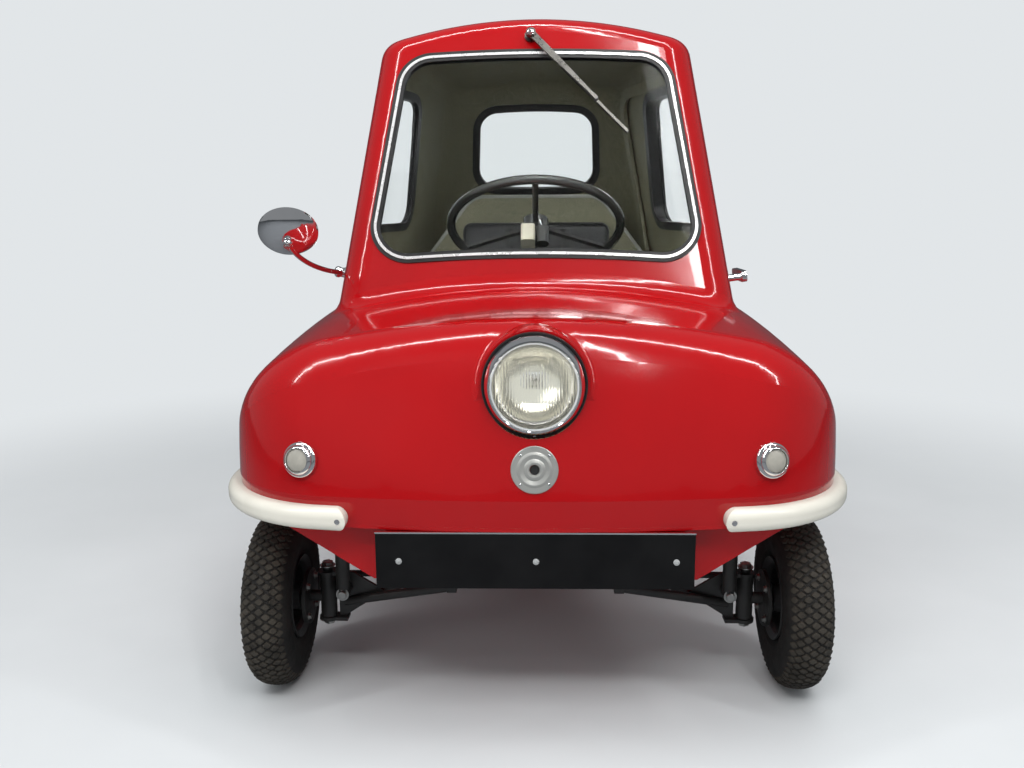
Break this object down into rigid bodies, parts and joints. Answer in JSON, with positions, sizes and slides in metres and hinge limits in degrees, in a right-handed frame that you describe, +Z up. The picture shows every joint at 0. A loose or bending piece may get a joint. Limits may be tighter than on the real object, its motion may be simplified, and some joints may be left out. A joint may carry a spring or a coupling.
{
  "type": "three wheeled microcar",
  "caption": "Tiny enclosed single seat car on three wheels, with a glass fibre body, one side door, a central headlamp and steering through the front wheels.",
  "frame": {"origin": "middle of the footprint, on the floor", "axes": "+Z up, nose towards -Y, the car's left side with the door at +X"},
  "size_m": [1.016, 1.3752, 1.1698],
  "materials": {
    "red_moulding": "glossy red gel coat on glass fibre",
    "white_moulding": "white gloss",
    "black_plastic": "black moulded plastic",
    "black_steel": "black paint on steel",
    "clear_panes": "clear",
    "bright_metal": "polished chrome plate",
    "black_rubber": "matt black rubber",
    "grey_casting": "cast light alloy",
    "plate_black": "blank black plate",
    "lamp_glass": "fluted clear glass",
    "cream_plastic": "cream moulded plastic",
    "mirror_face": "silvered glass",
    "silver_steel": "silver paint on pressed steel",
    "black_vinyl": "black leathercloth",
    "olive_moulding": "speckled grey green inner coat",
    "red_lens": "red translucent plastic",
    "tyre_rubber": "black tyre rubber"
  },
  "bodies": {
    "car_body": {"body_shell": "red_moulding", "bumpers": "white_moulding", "column_switch": "black_plastic", "column_tube": "black_steel", "engine_block": "grey_casting", "exhaust": "black_steel", "floor_pan": "red_moulding", "front_frame": "black_steel", "front_plate": "plate_black", "front_struts": "black_steel", "headlamp_body": "bright_metal", "headlamp_gasket": "black_rubber", "headlamp_lens": "lamp_glass", "hinge_leaves": "bright_metal", "horn_disc": "bright_metal", "instrument": "cream_plastic", "levers": "black_steel", "mirror": "bright_metal", "mirror_glass": "mirror_face", "pedals": "black_steel", "rear_fork": "black_steel", "rear_glass": "clear_panes", "rear_handle": "bright_metal", "rear_plate": "plate_black", "rear_rubber": "black_rubber", "seat_back": "black_vinyl", "seat_base": "olive_moulding", "seat_cushion": "black_vinyl", "seat_shell": "olive_moulding", "side_glass": "clear_panes", "side_lamp_lenses": "lamp_glass", "side_lamp_rims": "bright_metal", "side_rubber": "black_rubber", "tail_lamp_lenses": "red_lens", "tail_lamp_rims": "bright_metal", "windscreen_glass": "clear_panes", "windscreen_rubber": "black_rubber", "windscreen_trim": "bright_metal", "wiper": "bright_metal", "wiper_blade": "black_rubber"},
    "door": {"door_panel": "red_moulding", "door_glass": "clear_panes", "door_rubber": "black_rubber", "door_handle": "bright_metal", "door_hinges": "bright_metal"},
    "steering": {"steering_wheel": "black_plastic", "steering_shaft": "black_steel"},
    "left_knuckle": {"knuckle_left": "black_steel"},
    "right_knuckle": {"knuckle_right": "black_steel"},
    "track_rod": {"tie_rod": "black_steel"},
    "wheel_front_left": {"tyre_front_left": "tyre_rubber", "rim_front_left": "silver_steel"},
    "wheel_front_right": {"tyre_front_right": "tyre_rubber", "rim_front_right": "silver_steel"},
    "wheel_rear": {"tyre_rear": "tyre_rubber", "rim_rear": "silver_steel"}
  },
  "joints": [
    {"name": "door_hinge", "type": "hinge", "parent": "car_body", "child": "door", "pos_m": [0.3605, 0.354, 0.56], "axis": [-0.2342, 0, 0.9722], "range_deg": [0, 80]},
    {"name": "steering_turn", "type": "hinge", "parent": "car_body", "child": "steering", "pos_m": [0, -0.04, 0.772], "axis": [0, 0.5299, 0.848], "range_deg": [-50, 50]},
    {"name": "kingpin_left", "type": "hinge", "parent": "car_body", "child": "left_knuckle", "pos_m": [0.36, -0.451, 0.15], "axis": [0, 0, 1], "range_deg": [-30, 30]},
    {"name": "kingpin_right", "type": "hinge", "parent": "car_body", "child": "right_knuckle", "pos_m": [-0.36, -0.451, 0.15], "axis": [0, 0, 1], "range_deg": [-30, 30]},
    {"name": "track_rod_pivot", "type": "hinge", "parent": "left_knuckle", "child": "track_rod", "pos_m": [0.36, -0.351, 0.15], "axis": [0, 0, 1], "range_deg": [-30, 30]},
    {"name": "wheel_spin_front_left", "type": "hinge", "parent": "left_knuckle", "child": "wheel_front_left", "pos_m": [0.44, -0.451, 0.15], "axis": [1, 0, 0], "continuous": true},
    {"name": "wheel_spin_front_right", "type": "hinge", "parent": "right_knuckle", "child": "wheel_front_right", "pos_m": [-0.44, -0.451, 0.15], "axis": [1, 0, 0], "continuous": true},
    {"name": "wheel_spin_rear", "type": "hinge", "parent": "car_body", "child": "wheel_rear", "pos_m": [0, 0.476, 0.15], "axis": [1, 0, 0], "continuous": true}
  ],
  "couplings": [
    {"joint": "kingpin_left", "follows": "steering_turn", "ratio": 0.6},
    {"joint": "kingpin_right", "follows": "steering_turn", "ratio": 0.6},
    {"joint": "track_rod_pivot", "follows": "steering_turn", "ratio": -0.6}
  ]
}
